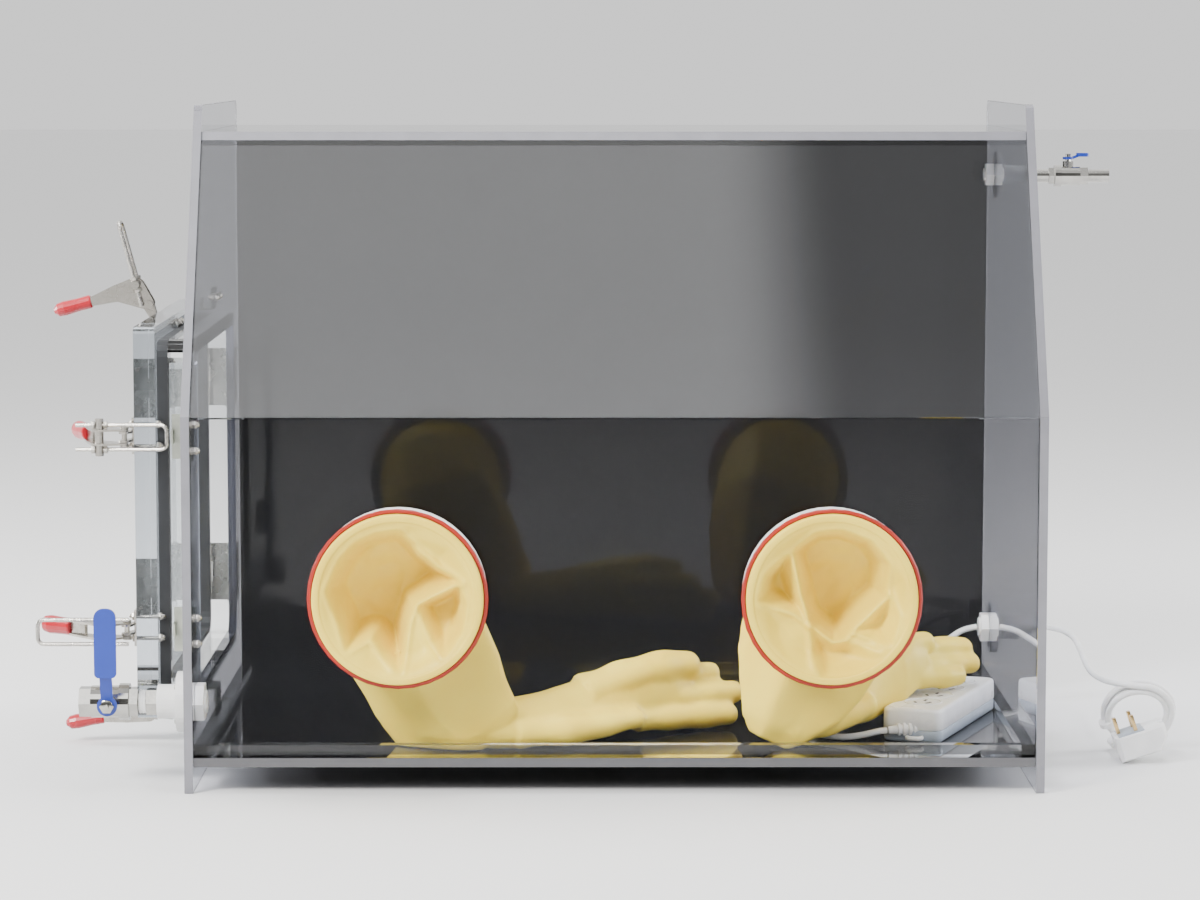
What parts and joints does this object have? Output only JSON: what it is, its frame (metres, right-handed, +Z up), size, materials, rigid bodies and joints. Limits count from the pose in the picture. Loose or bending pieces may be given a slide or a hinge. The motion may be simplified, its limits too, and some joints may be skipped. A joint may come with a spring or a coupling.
{
  "type": "laboratory glove box",
  "caption": "Benchtop glove box: clear chamber with a sloped window, two long gloves, a latched side door, a gas valve at each end and an inner power strip with its lead.",
  "frame": {"origin": "under the middle of the whole object on the bench, measured without its lead", "axes": "+X to the viewer's right, along the chamber's length; +Y to the back; +Z up"},
  "size_m": [1.1074, 0.5232, 0.635],
  "materials": {
    "clear_acrylic": "clear, polished",
    "dark_acrylic": "dark, polished",
    "door_acrylic": "clear thick sheet",
    "black_rubber": "matt",
    "nickel_steel": "nickel plated",
    "red_vinyl": "dipped, glossy",
    "blue_vinyl": "dipped, glossy",
    "white_plastic": "moulded",
    "white_cord": "smooth PVC",
    "cream_latex": "soft, dusted",
    "red_rubber": "smooth"
  },
  "bodies": {
    "chamber": {"side_panel_left": "clear_acrylic", "side_panel_right": "clear_acrylic", "base_plate": "dark_acrylic", "back_panel": "dark_acrylic", "roof_plate": "dark_acrylic", "front_upper_panel": "clear_acrylic", "front_lower_panel": "clear_acrylic", "floor_frame": "clear_acrylic", "door_seat": "clear_acrylic", "hinge_frame_leaf_lower": "nickel_steel", "hinge_frame_leaf_upper": "nickel_steel", "hinge_pin_lower": "nickel_steel", "hinge_pin_upper": "nickel_steel", "latch_keeper_top": "nickel_steel", "latch_keeper_front_upper": "nickel_steel", "latch_keeper_front_lower": "nickel_steel", "latch_keeper_bottom": "nickel_steel", "glove_port_ring_left": "white_plastic", "glove_port_ring_right": "white_plastic", "cuff_o_ring_left": "red_rubber", "cuff_o_ring_right": "red_rubber", "glove_left": "cream_latex", "glove_right": "cream_latex", "inlet_bulkhead": "white_plastic", "inlet_nipple": "nickel_steel", "inlet_valve_body": "nickel_steel", "outlet_bulkhead": "white_plastic", "outlet_valve_body": "nickel_steel", "cable_gland": "white_plastic", "power_strip": "white_plastic", "lead_inside": "white_cord", "lead_outside": "white_cord", "lead_coil": "white_cord", "lead_plug": "white_plastic"},
    "door": {"door_panel": "door_acrylic", "door_gasket": "black_rubber", "hinge_door_leaf_lower": "nickel_steel", "hinge_door_leaf_upper": "nickel_steel", "latch_base_top": "nickel_steel", "latch_base_front_upper": "nickel_steel", "latch_base_front_lower": "nickel_steel", "latch_base_bottom": "nickel_steel"},
    "lever_top": {"latch_lever_top": "nickel_steel", "latch_grip_top": "red_vinyl"},
    "hook_top": {"latch_u_bolt_top": "nickel_steel", "latch_trunnion_top": "nickel_steel"},
    "lever_front_upper": {"latch_lever_front_upper": "nickel_steel", "latch_grip_front_upper": "red_vinyl"},
    "hook_front_upper": {"latch_u_bolt_front_upper": "nickel_steel", "latch_trunnion_front_upper": "nickel_steel"},
    "lever_front_lower": {"latch_lever_front_lower": "nickel_steel", "latch_grip_front_lower": "red_vinyl"},
    "hook_front_lower": {"latch_u_bolt_front_lower": "nickel_steel", "latch_trunnion_front_lower": "nickel_steel"},
    "lever_bottom": {"latch_lever_bottom": "nickel_steel", "latch_grip_bottom": "red_vinyl"},
    "hook_bottom": {"latch_u_bolt_bottom": "nickel_steel", "latch_trunnion_bottom": "nickel_steel"},
    "inlet_lever": {"inlet_valve_lever": "blue_vinyl"},
    "outlet_lever": {"outlet_valve_lever": "blue_vinyl"}
  },
  "joints": [
    {"name": "door_hinge", "type": "hinge", "parent": "chamber", "child": "door", "pos_m": [-0.40333, 0.23845, 0], "axis": [0, 0, -1], "range_deg": [0, 105]},
    {"name": "lever_top", "type": "hinge", "parent": "door", "child": "lever_top", "pos_m": [-0.43673, 0.02615, 0.438], "axis": [0, 1, 0], "range_deg": [-50, 30]},
    {"name": "hook_top", "type": "hinge", "parent": "lever_top", "child": "hook_top", "pos_m": [-0.44913, 0.02615, 0.45775], "axis": [0, 1, 0], "range_deg": [-60, 95]},
    {"name": "lever_front_upper", "type": "hinge", "parent": "door", "child": "lever_front_upper", "pos_m": [-0.43673, -0.18835, 0.328], "axis": [0, 0, 1], "range_deg": [0, 55]},
    {"name": "hook_front_upper", "type": "hinge", "parent": "lever_front_upper", "child": "hook_front_upper", "pos_m": [-0.45983, -0.19155, 0.328], "axis": [0, 0, 1], "range_deg": [-60, 0]},
    {"name": "lever_front_lower", "type": "hinge", "parent": "door", "child": "lever_front_lower", "pos_m": [-0.43673, -0.18835, 0.146], "axis": [0, 0, 1], "range_deg": [-28, 30]},
    {"name": "hook_front_lower", "type": "hinge", "parent": "lever_front_lower", "child": "hook_front_lower", "pos_m": [-0.45563, -0.20202, 0.146], "axis": [0, 0, 1], "range_deg": [-25, 50]},
    {"name": "lever_bottom", "type": "hinge", "parent": "door", "child": "lever_bottom", "pos_m": [-0.43673, 0.02615, 0.052], "axis": [0, -1, 0], "range_deg": [-75, 0]},
    {"name": "hook_bottom", "type": "hinge", "parent": "lever_bottom", "child": "hook_bottom", "pos_m": [-0.43962, 0.02615, 0.02886], "axis": [0, -1, 0], "range_deg": [-30, 0]},
    {"name": "inlet_valve", "type": "hinge", "parent": "chamber", "child": "inlet_lever", "pos_m": [-0.45154, -0.22485, 0.08], "axis": [0, -1, 0], "range_deg": [0, 90]},
    {"name": "outlet_valve", "type": "hinge", "parent": "chamber", "child": "outlet_lever", "pos_m": [0.48946, 0.19165, 0.5755], "axis": [0, 0, 1], "range_deg": [0, 90]}
  ],
  "couplings": [
    {"joint": "hook_front_upper", "follows": "lever_front_upper", "ratio": -1}
  ]
}
